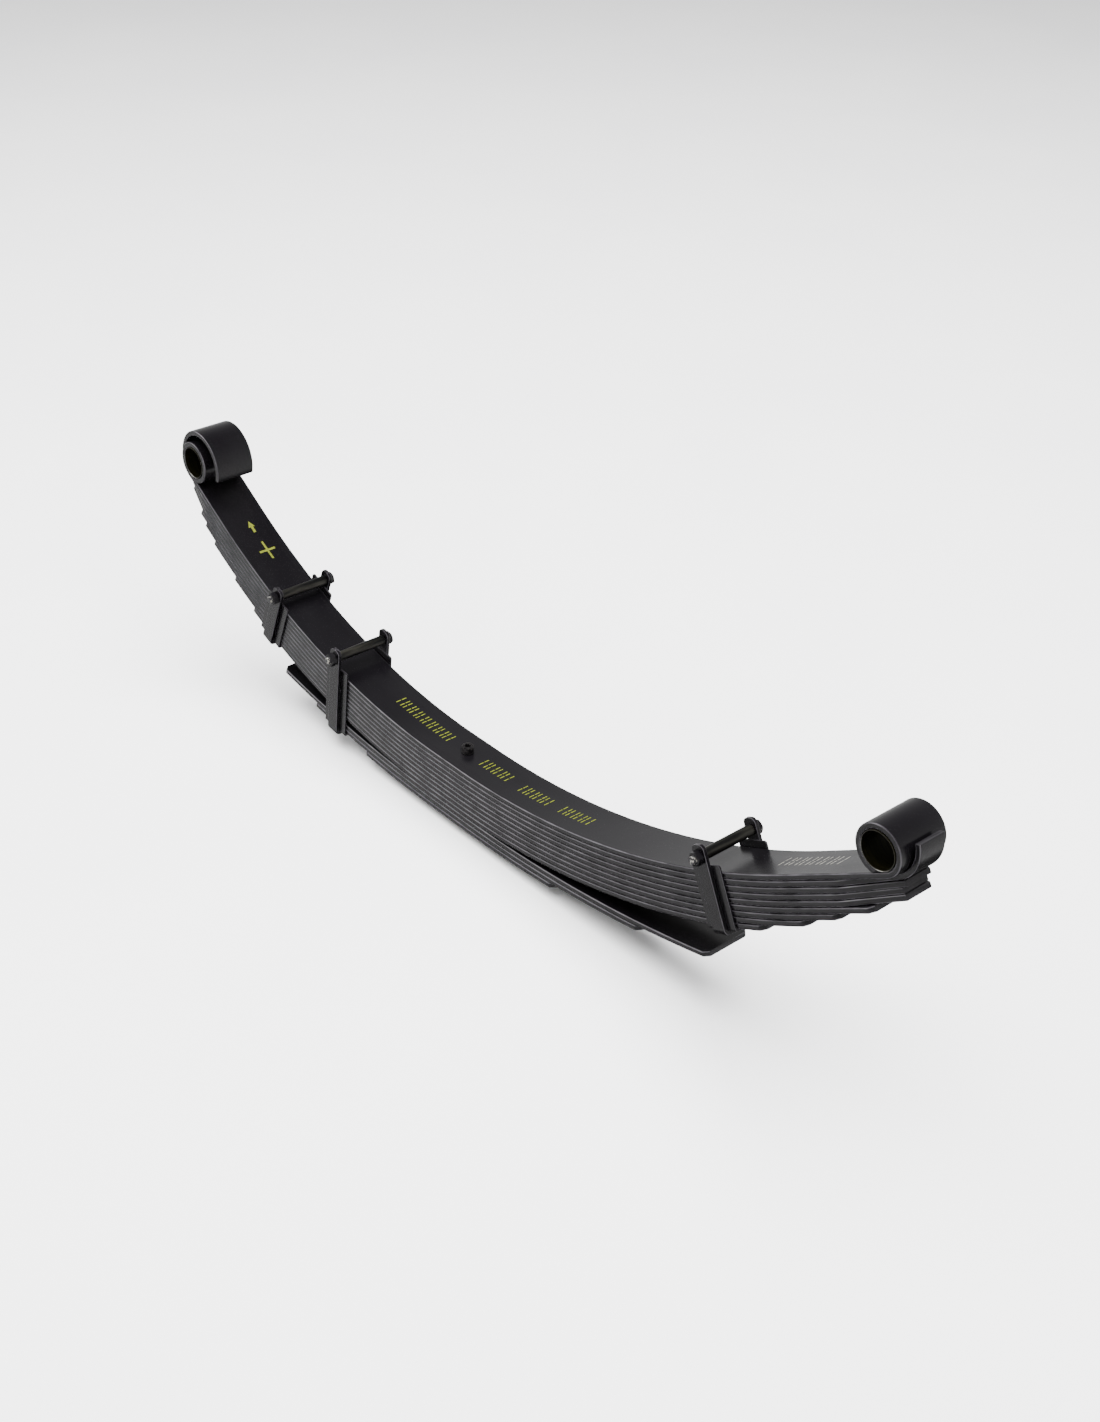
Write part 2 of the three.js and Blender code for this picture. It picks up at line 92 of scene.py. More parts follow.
# Plan shape of a leaf's end: its half width there, and how far back it starts to narrow.
CLIPPED = {"half": 29, "taper": 6}
LONG_FRONT = {"half": 27, "taper": 45}
LONG_REAR = {"half": 19, "taper": 80}
PLAIN_LEAVES = {
    "leaf_3": (630, LONG_FRONT, 770, LONG_REAR),
    "leaf_4": (625, LONG_FRONT, 763, LONG_REAR),
    "leaf_5": (592, CLIPPED, 764, LONG_REAR),
    "leaf_6": (575, CLIPPED, 726, CLIPPED),
    "leaf_7": (547, CLIPPED, 672, CLIPPED),
    "leaf_8": (489, CLIPPED, 619, CLIPPED),
    "leaf_9": (438, CLIPPED, 551, CLIPPED),
}
HELPER_LEAVES = {
    "helper_leaf_10": (379, 483),
    "helper_leaf_11": (303, 367),
    "helper_leaf_12": (185, 210),
}
LEAF_STEP = 8

# The leaves' skin lies this far inside their full thickness, so the true rounds of the
# eyes stay inside the frame's facets.
SKIN = 0.09

CLIPS = {
    "front_clip": {"side": -1, "reach": 387, "lowest": 9, "rise": 16.6},
    "middle_clip": {"side": -1, "reach": 240, "lowest": 11, "rise": 25},
    "rear_clip": {"side": 1, "reach": 489, "lowest": 9, "rise": 20},
}
STRAP = {"thickness": 5, "width": 20, "corner": 8, "above_bolt": 14, "head_corner": 7}
LINER = {"thickness": 2.5, "width": 46, "corner": 3, "rise": 8.5, "chamfer": 2}
BOLT_RADIUS = 5
CLIP_HEAD = {"across": 16, "height": 6.4}
CLIP_NUT = {"across": 16, "height": 8.4}
TUBE_RADIUS = 6.8
RIVET = {"radius": 8, "height": 4.5, "shank_radius": 4, "tip_radius": 0.3}
CENTRE_HEAD = {"radius": 8, "height": 10, "socket_across": 8, "socket_depth": 5,
               "foot": 0.4, "crown": 1, "mouth": 0.3, "mouth_depth": 0.5}
CENTRE_NUT = {"across": 17, "height": 8}
THREAD_PITCH = 1.5
THREAD_DEPTH = 0.8
THREAD_RUNOUT = 0.3
CLIP_THREAD_IN = 4
CENTRE_THREAD_IN = 2
SHANK_STEP = 1
BOLT_END = 4
HEX_FACE = 0.95
COUNTERSINK = 0.8
ROUND_STEPS = 72

# Rounding of the long edges that are swept, and the small flat on every cut or turned end.
STRAP_EDGE = 1.1
LINER_EDGE = 0.6
END_EASE = 0.5
TUBE_EASE = 0.4

# The arrow's head, then bars for its shaft and for the cross: start and length along the
# leaf, middle and width across it.
ARROW = {"tip": -507, "neck": -498, "middle": 3, "half": 5}
MARK_BARS = ((-498.2, 8.4, 3, 4), (-474, 28, 3, 3), (-461.5, 3, -4.2, 11.2), (-461.5, 3, 10, 11.2))

# Rows of stroke pairs on the main leaf: where each starts, how many pairs, and its sides.
MARK_ROW = {"pitch": 14.2, "pair": 8.6, "bridge": 1.8, "stroke": 1.5}
STENCIL_ROWS = ((-148, 8, -5.5, 11), (31.5, 4, -7, 9.5), (113, 4, -10, 6.8), (190, 4, -10, 6.8))
BATCH_ROW = (550, 6, -8, 13.5)
BATCH_STROKE = 1
MARK_SINK = 0.05

# ---- Stage, in metres, watts and degrees, with the lens in millimetres -----------------------

FLOOR_HALF = 14
# Brightness of the surroundings by the height of the direction looked in, -1 straight down and
# 1 straight up: dark below, so that the grooves stay dark, then bright, then fading upwards.
SKY = ((-1.0, 0.04), (-0.71, 0.06), (-0.63, 1.0), (0.0, 0.70), (0.55, 0.37), (0.9, 0.12))
OVERHEAD_BOX = {"size": 5, "energy": 1200, "place": (0.3, -0.2, 4), "glossy": False}
NEAR_BOX = {"size": 2.4, "energy": 90, "place": (-2.6, -2.4, 2.1), "glossy": True}
CAMERA = {"place": (1.6671, -1.3122, 1.4030), "yaw": 138.93, "pitch": -32.26, "roll": 1.05,
          "lens": 49.44, "sensor": 36}


# ---- Colours and nodes -------------------------------------------------------------------


def to_linear(code):
    """An sRGB hex colour as linear red, green and blue."""
    values = [int(code[i:i + 2], 16) / 255 for i in (1, 3, 5)]
    return tuple(v / 12.92 if v <= 0.04045 else ((v + 0.055) / 1.055) ** 2.4 for v in values)


def add_node(tree, kind, inputs=None, **settings):
    """Adds a node with its settings; an input is a value or another node's output."""
    node = tree.nodes.new(kind)
    for key, value in settings.items():
        setattr(node, key, value)
    for key, value in (inputs or {}).items():
        if isinstance(value, bpy.types.NodeSocket):
            tree.links.new(value, node.inputs[key])
        else:
            node.inputs[key].default_value = value
    return node


def new_material(name, **surface):
    """A material with a Principled surface; its constants are set on the shader itself."""
    material = bpy.data.materials.new(name)
    material.use_nodes = True
    tree = material.node_tree
    shader = tree.nodes["Principled BSDF"]
    for key, value in surface.items():
        shader.inputs[key.replace("_", " ")].default_value = value
    place = tree.nodes.new("ShaderNodeTexCoord").outputs["Object"]
    return material, tree, shader, place


def grain(tree, place, size_mm, detail=3.0, stretch=(1, 1, 1), roughness=0.5):
    """Noise whose features are about size_mm wide, drawn out along the axes of stretch."""
    turned = add_node(tree, "ShaderNodeMapping", {"Vector": place, "Scale": tuple(1 / s for s in stretch)})
    return add_node(tree, "ShaderNodeTexNoise", {
        "Vector": turned.outputs[0], "Scale": 1 / (size_mm * MM), "Detail": detail, "Roughness": roughness,
    }).outputs["Fac"]


def remap(tree, value, low, high, to_low=0.0, to_high=1.0):
    return add_node(tree, "ShaderNodeMapRange", {
        "Value": value, "From Min": low, "From Max": high, "To Min": to_low, "To Max": to_high,
    }).outputs["Result"]


def multiply(tree, a, b):
    return add_node(tree, "ShaderNodeMath", {0: a, 1: b}, operation="MULTIPLY").outputs[0]


def blend_colours(tree, factor, a, b):
    """Mixes two colours, each a linear triple or a socket."""
    mix = add_node(tree, "ShaderNodeMix", {"Factor": factor}, data_type="RGBA")
    for index, colour in ((6, a), (7, b)):
        if isinstance(colour, bpy.types.NodeSocket):
            tree.links.new(colour, mix.inputs[index])
        else:
            mix.inputs[index].default_value = (*colour, 1)
    return mix.outputs[2]


def bump(tree, shader, height, distance_mm, strength=1.0):
    node = add_node(tree, "ShaderNodeBump", {
        "Height": height, "Distance": distance_mm * MM, "Strength": strength,
    })
    tree.links.new(node.outputs["Normal"], shader.inputs["Normal"])


# ---- Materials ----------------------------------------------------------------------------


def chassis_paint(finish):
    """Black chassis paint, dipped and baked over shot-peened spring steel.

    It gives a deep satin black with a soft sheen, a faint orange peel, paler edges that are partly
    rubbed wear and partly a painted highlight, and a little dust. The peening is under 1 mm, so it is drawn
    at 3 mm to show at all.
    """
    material, tree, shader, place = new_material("satin black chassis paint", IOR=1.45)
    edge = add_node(tree, "ShaderNodeAttribute", attribute_name="edge").outputs["Fac"]
    # Paler long edges: partly rubbed wear, partly a painted highlight line along every rounded edge; worn
    # holds the paint with both.
    rub_and_highlight = remap(tree, grain(tree, place, 30, 4), 0.35, 0.65, 0.35, 1.0)
    wear_and_highlight = multiply(tree, multiply(tree, multiply(tree, edge, edge), rub_and_highlight), 0.32)
    cloud = remap(tree, grain(tree, place, 60, 4, (3, 1, 1)), 0.3, 0.7)
    base = blend_colours(tree, cloud, tuple(finish.paint), to_linear("#0c0b0d"))
    dust = multiply(tree, remap(tree, grain(tree, place, 2.5, 6), 0.62, 0.80), 0.03)
    dusty = blend_colours(tree, dust, base, to_linear("#4a474a"))
    worn = blend_colours(tree, wear_and_highlight, dusty, to_linear("#6a676c"))
    tree.links.new(worn, shader.inputs["Base Color"])
    streaks = grain(tree, place, 25, 4, (4, 1, 1))
    tree.links.new(remap(tree, streaks, 0.25, 0.75, 0.19, 0.27), shader.inputs["Roughness"])
    bump(tree, shader, grain(tree, place, 3, 3), 0.03, 0.12)
    return material


def black_oxide(finish):
    """Black-oxided alloy steel: a thin dark film, a little brown, brighter where a tool rubs."""
    material, tree, shader, place = new_material("black oxide steel", Metallic=0.85)
    patch = remap(tree, grain(tree, place, 3, 4), 0.4, 0.7)
    tree.links.new(
        blend_colours(tree, patch, tuple(finish.oxide), to_linear("#4d4a4a")), shader.inputs["Base Color"])
    tree.links.new(remap(tree, grain(tree, place, 1.5, 3), 0.3, 0.7, 0.28, 0.5), shader.inputs["Roughness"])
    bump(tree, shader, grain(tree, place, 1, 3), 0.03, 0.4)
    return material


def zinc_plate(finish):
    """Bright zinc plate with black overspray: pale metal broken by dark paint specks."""
    material, tree, shader, place = new_material("zinc plate with overspray")
    paint = remap(tree, grain(tree, place, 5, 6, roughness=0.65), 0.38, 0.47)
    tree.links.new(
        blend_colours(tree, paint, tuple(finish.zinc), to_linear("#1c1b1d")), shader.inputs["Base Color"])
    tree.links.new(remap(tree, paint, 0, 1, 1, 0), shader.inputs["Metallic"])
    tree.links.new(remap(tree, paint, 0, 1, 0.28, 0.42), shader.inputs["Roughness"])
    bump(tree, shader, paint, 0.06, 0.5)
    return material


def tube_steel(finish):
    """Drawn steel tube, thinly painted: dark warm grey, streaked along its length."""
    material, tree, shader, place = new_material("worn spacer tube", Metallic=0.55)
    film = remap(tree, grain(tree, place, 6, 4, (1, 12, 1)), 0.34, 0.56)
    tree.links.new(
        blend_colours(tree, film, tuple(finish.tube), to_linear("#0d0d0d")), shader.inputs["Base Color"])
    tree.links.new(remap(tree, film, 0, 1, 0.30, 0.45), shader.inputs["Roughness"])
    bump(tree, shader, grain(tree, place, 2, 3, (1, 6, 1)), 0.04, 0.4)
    return material


def sleeve_steel(finish):
    """Turned sleeve with an olive passivate: fine rings round the bore, a dull warm tint."""
    material, tree, shader, place = new_material("olive passivated sleeve", Metallic=0.8)
    rings = grain(tree, place, 1.2, 3, (30, 1, 30))
    tree.links.new(
        blend_colours(tree, remap(tree, rings, 0.35, 0.65), tuple(finish.sleeve), to_linear("#0f0e07")),
        shader.inputs["Base Color"])
    tree.links.new(remap(tree, rings, 0.3, 0.7, 0.34, 0.5), shader.inputs["Roughness"])
    bump(tree, shader, rings, 0.04, 0.5)
    return material


def turned_rim():
    """Bare turned edge of a steel sleeve: a thin bright ring, with fine tool marks."""
    material, tree, shader, place = new_material("bare turned steel", Metallic=1.0)
    marks = grain(tree, place, 1, 3, (1, 20, 1))
    tree.links.new(
        blend_colours(tree, remap(tree, marks, 0.35, 0.65), to_linear("#8a8984"), to_linear("#5f5e5a")),
        shader.inputs["Base Color"])
    tree.links.new(remap(tree, marks, 0.3, 0.7, 0.3, 0.42), shader.inputs["Roughness"])
    return material


def marking_paint(name, colour, faded):
    """Sprayed or brushed marking paint: a thin film, patchy where the black shows through."""
    material, tree, shader, place = new_material(name, Roughness=0.6)
    thin = remap(tree, grain(tree, place, 2, 5), 0.45, 0.75)
    tree.links.new(blend_colours(tree, thin, tuple(colour), faded), shader.inputs["Base Color"])
    bump(tree, shader, thin, 0.02, 0.3)
    return material


def floor_white():
    """Matt studio sweep: an even, nearly white sheet with no gloss."""
    material, tree, shader, place = new_material("matt studio sweep", Roughness=0.95, Specular_IOR_Level=0.1)
    cloud = remap(tree, grain(tree, place, 400, 2), 0.3, 0.7)
    tree.links.new(
        blend_colours(tree, cloud, to_linear("#fafafa"), to_linear("#f6f6f7")), shader.inputs["Base Color"])
    return material


# ---- The strip: a rounded bar swept along a path -------------------------------------------


def strip_tree():
    """Geometry nodes: sweeps a rounded rectangle along the object's own line of edges."""
    tree = bpy.data.node_groups.new("Rounded strip", "GeometryNodeTree")
    face = tree.interface
    face.new_socket("Geometry", in_out="INPUT", socket_type="NodeSocketGeometry")
    for name in ("Width", "Thickness", "Edge Radius"):
        face.new_socket(name, in_out="INPUT", socket_type="NodeSocketFloat")
    face.new_socket("Width Direction", in_out="INPUT", socket_type="NodeSocketVector")
    face.new_socket("Material", in_out="INPUT", socket_type="NodeSocketMaterial")
    face.new_socket("Geometry", in_out="OUTPUT", socket_type="NodeSocketGeometry")
    given = add_node(tree, "NodeGroupInput").outputs
    width, thickness, radius = given["Width"], given["Thickness"], given["Edge Radius"]

    line = add_node(tree, "GeometryNodeMeshToCurve", {"Mesh": given["Geometry"]})
    level = add_node(tree, "GeometryNodeSetCurveNormal", {
        "Curve": line.outputs["Curve"], "Normal": given["Width Direction"],
    }, mode="FREE")

    box = add_node(tree, "GeometryNodeCurvePrimitiveQuadrilateral", {"Width": width, "Height": thickness})
    rounded = add_node(tree, "GeometryNodeFilletCurve", {
        "Curve": box.outputs["Curve"], "Count": 6, "Radius": radius, "Limit Radius": True,
    }, mode="POLY")
    parts = add_node(tree, "ShaderNodeSeparateXYZ", {
        "Vector": add_node(tree, "GeometryNodeInputPosition").outputs[0],
    })
    # The edge value is 1 on the profile's rounded corners; the paint uses it for pale wear and a painted
    # highlight along the edges.
    shares = []
    for axis, size in (("X", width), ("Y", thickness)):
        distance = add_node(tree, "ShaderNodeMath", {0: parts.outputs[axis]}, operation="ABSOLUTE")
        half = add_node(tree, "ShaderNodeMath", {0: size, 1: 0.5}, operation="MULTIPLY")
        flat = add_node(tree, "ShaderNodeMath", {0: half.outputs[0], 1: radius}, operation="SUBTRACT")
        shares.append(add_node(tree, "ShaderNodeMapRange", {
            "Value": distance.outputs[0], "From Min": flat.outputs[0], "From Max": half.outputs[0],
        }).outputs["Result"])
    corner = add_node(tree, "ShaderNodeMath", {0: shares[0], 1: shares[1]}, operation="MULTIPLY")
    edge = add_node(tree, "ShaderNodeMath", {0: corner.outputs[0], 1: 2.0}, operation="MULTIPLY")
    profile = add_node(tree, "GeometryNodeStoreNamedAttribute", {
        "Geometry": rounded.outputs["Curve"], "Name": "edge", "Value": edge.outputs[0],
    }, data_type="FLOAT", domain="POINT")

    swept = add_node(tree, "GeometryNodeCurveToMesh", {
        "Curve": level.outputs["Curve"], "Profile Curve": profile.outputs["Geometry"], "Fill Caps": True,
    })
    here = add_node(tree, "GeometryNodeInputPosition").outputs[0]
    aside = add_node(tree, "ShaderNodeVectorMath", {0: here, 1: given["Width Direction"]},
                     operation="DOT_PRODUCT")
    half_width = add_node(tree, "GeometryNodeInputNamedAttribute", {"Name": "half_width"}, data_type="FLOAT")
    doubled = add_node(tree, "ShaderNodeMath", {0: half_width.outputs[0], 1: 2.0}, operation="MULTIPLY")
    share = add_node(tree, "ShaderNodeMath", {0: doubled.outputs[0], 1: width}, operation="DIVIDE")
    less = add_node(tree, "ShaderNodeMath", {0: share.outputs[0], 1: 1.0}, operation="SUBTRACT")
    shift = add_node(tree, "ShaderNodeMath", {0: aside.outputs["Value"], 1: less.outputs[0]},
                     operation="MULTIPLY")
    offset = add_node(tree, "ShaderNodeVectorMath", {0: given["Width Direction"], "Scale": shift.outputs[0]},
                      operation="SCALE")
    narrowed = add_node(tree, "GeometryNodeSetPosition", {
        "Geometry": swept.outputs["Mesh"], "Offset": offset.outputs["Vector"],
    })
    whole = add_node(tree, "GeometryNodeRealizeInstances", {"Geometry": narrowed.outputs["Geometry"]})
    finished = add_node(tree, "GeometryNodeSetMaterial", {
        "Geometry": whole.outputs["Geometry"], "Material": given["Material"],
    })
    add_node(tree, "NodeGroupOutput", {"Geometry": finished.outputs["Geometry"]})
    return tree


def link_mesh(name, mesh):
    piece = bpy.data.objects.new(name, mesh)
    bpy.context.scene.collection.objects.link(piece)
    return piece


def outward(mesh):
    """Turns every face of a closed mesh outwards."""
    shape = bmesh.new()
    shape.from_mesh(mesh)
    bmesh.ops.recalc_face_normals(shape, faces=shape.faces)
    shape.to_mesh(mesh)
    shape.free()


def strip_piece(name, path, size, across, material, matrix=None, scarf=None):
    """Sweeps a strip of size (width, thickness, edge radius) along path.

    path is a list of (point, half width, tip), all in millimetres, where tip marks the
    stretch that scarf may trim.
    """
    line = bpy.data.meshes.new(name + "_line")
    line.from_pydata([Vector(p) * MM for p, _, _ in path], [(i, i + 1) for i in range(len(path) - 1)], [])
    for key, index in (("half_width", 1), ("tip", 2)):
        scale = MM if key == "half_width" else 1.0
        values = line.attributes.new(key, "FLOAT", "POINT")
        values.data.foreach_set("value", [row[index] * scale for row in path])
    maker = link_mesh(name + "_line", line)
    sweep = maker.modifiers.new("Strip", "NODES")
    sweep.node_group = strips["tree"]
    sockets = {item.name: item.identifier for item in strips["tree"].interface.items_tree
               if item.in_out == "INPUT"}
    given = dict(zip(("Width", "Thickness", "Edge Radius"), [v * MM for v in size]))
    given["Width Direction"] = across
    given["Material"] = material
    for key, value in given.items():
        sweep[sockets[key]] = value
    eased = maker.modifiers.new("Eased ends", "BEVEL")
    eased.width = END_EASE * MM
    eased.segments = 2
    eased.limit_method = "ANGLE"
    eased.angle_limit = math.radians(50)
    graph = bpy.context.evaluated_depsgraph_get()
    mesh = bpy.data.meshes.new_from_object(maker.evaluated_get(graph), depsgraph=graph)
    mesh.name = name
    bpy.data.objects.remove(maker)
    bpy.data.meshes.remove(line)
    if scarf:
        trim_tips(mesh, scarf)
    for key in ("half_width", "tip"):
        if key in mesh.attributes:
            mesh.attributes.remove(mesh.attributes[key])
    outward(mesh)
    if matrix:
        mesh.transform(matrix)
    mesh.shade_smooth()
    piece = link_mesh(name, mesh)
    steady = piece.modifiers.new("Flat faces stay flat", "WEIGHTED_NORMAL")
    steady.weight = 80
    return piece


def trim_tips(mesh, scarf):
    """Cuts the rolled tips flat, just clear of the leaf below them."""
    marks = mesh.attributes["tip"].data
    for vertex in mesh.vertices:
        if marks[vertex.index].value < 0.5:
            continue
        eye = scarf[0] if vertex.co.x < 0 else scarf[1]
        offset = vertex.co / MM - eye["centre"]
        height = offset.dot(eye["up"])
        low = EYE_TIP_GAP - EYE_BORE_RADIUS
        if height < low:
            vertex.co += eye["up"] * (low - height) * MM


# ---- Paths of the leaves --------------------------------------------------------------------


def on_bow(bow, reach, depth, top=0.0):
    """Point at a reach along a bow, depth below its top face, and the slope there."""
    slope = min(max((reach - bow["flat"]) / bow["radius"], 0), bow["bend"])
    beyond = reach - bow["flat"] - bow["radius"] * slope
    x = bow["flat"] + (bow["radius"] + depth) * math.sin(slope) + beyond * math.cos(slope)
    z = bow["radius"] - (bow["radius"] + depth) * math.cos(slope) + beyond * math.sin(slope)
    return Vector((bow["side"] * x, 0, z - top)), slope


def reach_at(bow, x):
    """How far along a bow's top face the place at a distance x from the centre bolt is."""
    end = bow["flat"] + bow["radius"] * math.sin(bow["bend"])
    if x <= bow["flat"]:
        return x
    if x < end:
        return bow["flat"] + bow["radius"] * math.asin((x - bow["flat"]) / bow["radius"])
    return bow["flat"] + bow["radius"] * bow["bend"] + (x - end) / math.cos(bow["bend"])


def eye_of(bow, reach):
    """An eye's centre and its own directions: out along the leaf, and up from its face."""
    foot, slope = on_bow(bow, reach, 0)
    out = Vector((bow["side"] * math.cos(slope), 0, math.sin(slope)))
    up = Vector((-bow["side"] * math.sin(slope), 0, math.cos(slope)))
    return {"centre": foot + up * EYE_BORE_RADIUS, "out": out, "up": up}


def arc(eye, radius, start, end, shift=(0, 0)):
    """Points on an arc in an eye's own directions, its centre shifted by (out, up)."""
    count = max(2, math.ceil(abs(end - start) / EYE_STEP))
    middle = eye["centre"] + eye["out"] * shift[0] + eye["up"] * shift[1]
    points = []
    for i in range(count + 1):
        angle = start + (end - start) * i / count
        aside = eye["out"] * (radius * math.cos(angle))
        points.append(middle + aside + eye["up"] * (radius * math.sin(angle)))
    return points


def leaf_side(bow, depth, reach, end, half, top=0.0):
    """One side of a leaf from the centre bolt outwards, narrowing to its end."""
    middle = depth + LEAF_THICKNESS / 2
    narrow = reach - end["taper"]
    reaches = [i * LEAF_STEP for i in range(1, math.ceil(narrow / LEAF_STEP))]
    steps = max(2, math.ceil(end["taper"] / LEAF_STEP))
    reaches += [narrow + end["taper"] * i / steps for i in range(steps + 1)]
    path = []
    for at in reaches:
        share = max(0, (at - narrow) / end["taper"])
        path.append((on_bow(bow, at, middle, top)[0], half + (end["half"] - half) * share, 0.0))
    return path


def main_side(bow, reach, half):
    plain = leaf_side(bow, 0, reach, {"half": half, "taper": LEAF_STEP}, half)
    roll = arc(eye_of(bow, reach), EYE_BORE_RADIUS + LEAF_THICKNESS / 2, EYE_FOOT, EYE_TIP)
    return plain + [(p, half, float(i > len(roll) * 0.6)) for i, p in enumerate(roll)][1:]


def wrap_side(bow, reach, wrap, half):
    plain = leaf_side(bow, PITCH, reach, wrap, half)
    eye = eye_of(bow, reach)
    close = EYE_RADIUS + FIT_GAP
    shift = close - WRAP_RADIUS
    hug = arc(eye, close + LEAF_THICKNESS / 2, EYE_FOOT, wrap["leave"])
    opened = arc(eye, WRAP_RADIUS + LEAF_THICKNESS / 2, wrap["leave"], wrap["end"],
                 (shift * math.cos(wrap["leave"]), shift * math.sin(wrap["leave"])))
    return plain + [(p, wrap["half"], 0.0) for p in hug[1:] + opened[1:]]


def whole_leaf(front, rear):
    """Joins the two sides of a leaf into one path from its front end to its rear end."""
    return front[::-1] + rear


# ---- Turned and hexagonal pieces --------------------------------------------------------------


def round_at(radius):
    return lambda angle: radius


def hex_at(across):
    """Radius of a hexagon at an angle; its corners stand at multiples of a sixth of a turn."""
    sixth = math.pi / 3

    def radius(angle):
        return across / 2 / math.cos((angle % sixth) - sixth / 2)
    return radius


def turned_piece(name, rings, matrix, material, closed=False):
    """Joins rings, each (radius at an angle, height at an angle), into a closed solid along Z."""
    verts = []
    for radius, height in rings:
        for i in range(ROUND_STEPS):
            angle = 2 * math.pi * i / ROUND_STEPS
            r = radius(angle)
            z = height(angle) if callable(height) else height
            verts.append(Vector((r * math.cos(angle), r * math.sin(angle), z)) * MM)
    faces = []
    spans = len(rings) if closed else len(rings) - 1
    for k in range(spans):
        a = k * ROUND_STEPS
        b = (k + 1) % len(rings) * ROUND_STEPS
        for i in range(ROUND_STEPS):
            j = (i + 1) % ROUND_STEPS
            faces.append((a + i, a + j, b + j, b + i))
    if not closed:
        faces.append(tuple(range(ROUND_STEPS))[::-1])
        faces.append(tuple(range((len(rings) - 1) * ROUND_STEPS, len(rings) * ROUND_STEPS)))
    mesh = bpy.data.meshes.new(name)
    mesh.from_pydata(verts, [], faces)
    outward(mesh)
    mesh.transform(matrix)
    mesh.materials.append(material)
    mesh.shade_smooth()
    mesh.set_sharp_from_angle(angle=math.radians(32))
    return link_mesh(name, mesh)


def chamfered(across, face_radius, high, sign):
    """Height of a hexagon's end at each angle, cut back by a cone of thirty degrees."""
    radius = hex_at(across)
    fall = math.tan(math.radians(30))
    return lambda angle: high - sign * max(0, radius(angle) - face_radius) * fall


def hex_rings(across, low, high, bore):
    """Rings of a nut or bolt head, with both ends chamfered; bore 0 leaves it solid."""
    face = across / 2 * HEX_FACE
    side = hex_at(across)
    rings = [(round_at(face), low), (side, chamfered(across, face, low, -1)),
             (side, chamfered(across, face, high, 1)), (round_at(face), high)]
    if bore:
        rings += [(round_at(bore + COUNTERSINK), high), (round_at(bore), high - COUNTERSINK),
                  (round_at(bore), low + COUNTERSINK), (round_at(bore + COUNTERSINK), low)]
    return rings


def thread_rings(radius, low, high):
    """A screw thread: each ring is turned a little further round the helix."""
    count = max(4, round((high - low) / THREAD_PITCH * 8))
    rings = []
    for i in range(count + 1):
        z = low + (high - low) * i / count
        fade = min(1, (z - low) / THREAD_PITCH, (high - z) / THREAD_PITCH + THREAD_RUNOUT)

        def flank(angle, z=z, fade=fade):
            turn = (z / THREAD_PITCH - angle / (2 * math.pi)) % 1
            return radius - THREAD_DEPTH * (1 - fade * abs(2 * turn - 1))
        rings.append((flank, z))
    return rings


# ---- Clips ---------------------------------------------------------------------------------------


def clip_place(clip):
    """The frame of a clip, square to the lowest leaf it embraces, and its depth below the seat."""
    onto_helper = clip["lowest"] > PACK_LEAVES
    main = FRONT_BOW if clip["side"] < 0 else REAR_BOW
    helper = FRONT_HELPER_BOW if clip["side"] < 0 else REAR_HELPER_BOW
    seat = on_bow(main, clip["reach"], 0)[0]
    bow = helper if onto_helper else main
    top = HELPER_TOP if onto_helper else 0
    sideways = abs(seat.x) - bow["flat"]
    down = bow["radius"] - top - seat.z
    bottom = clip["lowest"] * PITCH - FIT_GAP - top
    drop = bow["radius"] + bottom - math.hypot(sideways, down)
    turn = Matrix.Rotation(-clip["side"] * math.atan2(sideways, down), 4, "Y")
    return Matrix.Translation(seat * MM) @ turn, drop


def channel_path(half_y, bottom, top, corner, half_width_at):
    """A U in Y and Z, down one leg, along the bottom and up the other."""
    right = []
    for z in heights(top, bottom + corner):
        right.append((Vector((0, half_y, z)), half_width_at(z), 0.0))
    bends = 8
    for i in range(1, bends + 1):
        angle = math.pi / 2 * i / bends
        y = half_y - corner + corner * math.cos(angle)
        right.append((Vector((0, y, bottom + corner - corner * math.sin(angle))), half_width_at(bottom), 0.0))
    left = [(Vector((0, -p.y, p.z)), half, tip) for p, half, tip in right[::-1]]
    return right + left


def heights(top, low):
    """Heights down a leg, close together near its head where its outline curves."""
    head = [top - STRAP["head_corner"] * (1 - math.cos(math.pi / 2 * i / 10)) for i in range(11)]
    low_part = [head[-1] + (low - head[-1]) * i / 6 for i in range(1, 7)]
    return head + low_part


def strap_width(head):
    """Half width of a strap: straight, with its head's corners rounded off."""
    half = STRAP["width"] / 2
    corner = STRAP["head_corner"]

    def at(z):
        past = max(0, z - (head - corner))
        return half - corner + math.sqrt(max(0, corner * corner - past * past))
    return at


def liner_width(z):
    cut = max(0, z - (LINER["rise"] - LINER["chamfer"]))
    return LINER["width"] / 2 - cut


def along_y(matrix, rise):
    """The frame of a piece turned along the clip's bolt."""
    turn = Matrix.Rotation(math.radians(-90), 4, "X")
    return matrix @ Matrix.Translation((0, 0, rise * MM)) @ turn


def bend_with_pack(piece, node_names):
    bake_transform(piece)
    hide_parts(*node_names)
    return piece


strips = {}
finishes = {}


# ---- Add-on ---------------------------------------------------------------------------------------


class LEAFSPRING_PG_sizes(PropertyGroup):
    """Sizes of the pack that a user would change."""

    leaf_width: FloatProperty(
        name="Leaf Width", description="Width of every leaf", unit="LENGTH", subtype="DISTANCE",
        default=round(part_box("leaf_8_front")[1].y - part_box("leaf_8_front")[0].y, 5))
    edge_radius: FloatProperty(
        name="Edge Radius", description="Rounding of a rolled leaf's long edges",
        unit="LENGTH", subtype="DISTANCE", default=2.1 * MM)
    mark_height: FloatProperty(
        name="Mark Height", description="Thickness of the marking paint on the main leaf",
        unit="LENGTH", subtype="DISTANCE", default=0.15 * MM)


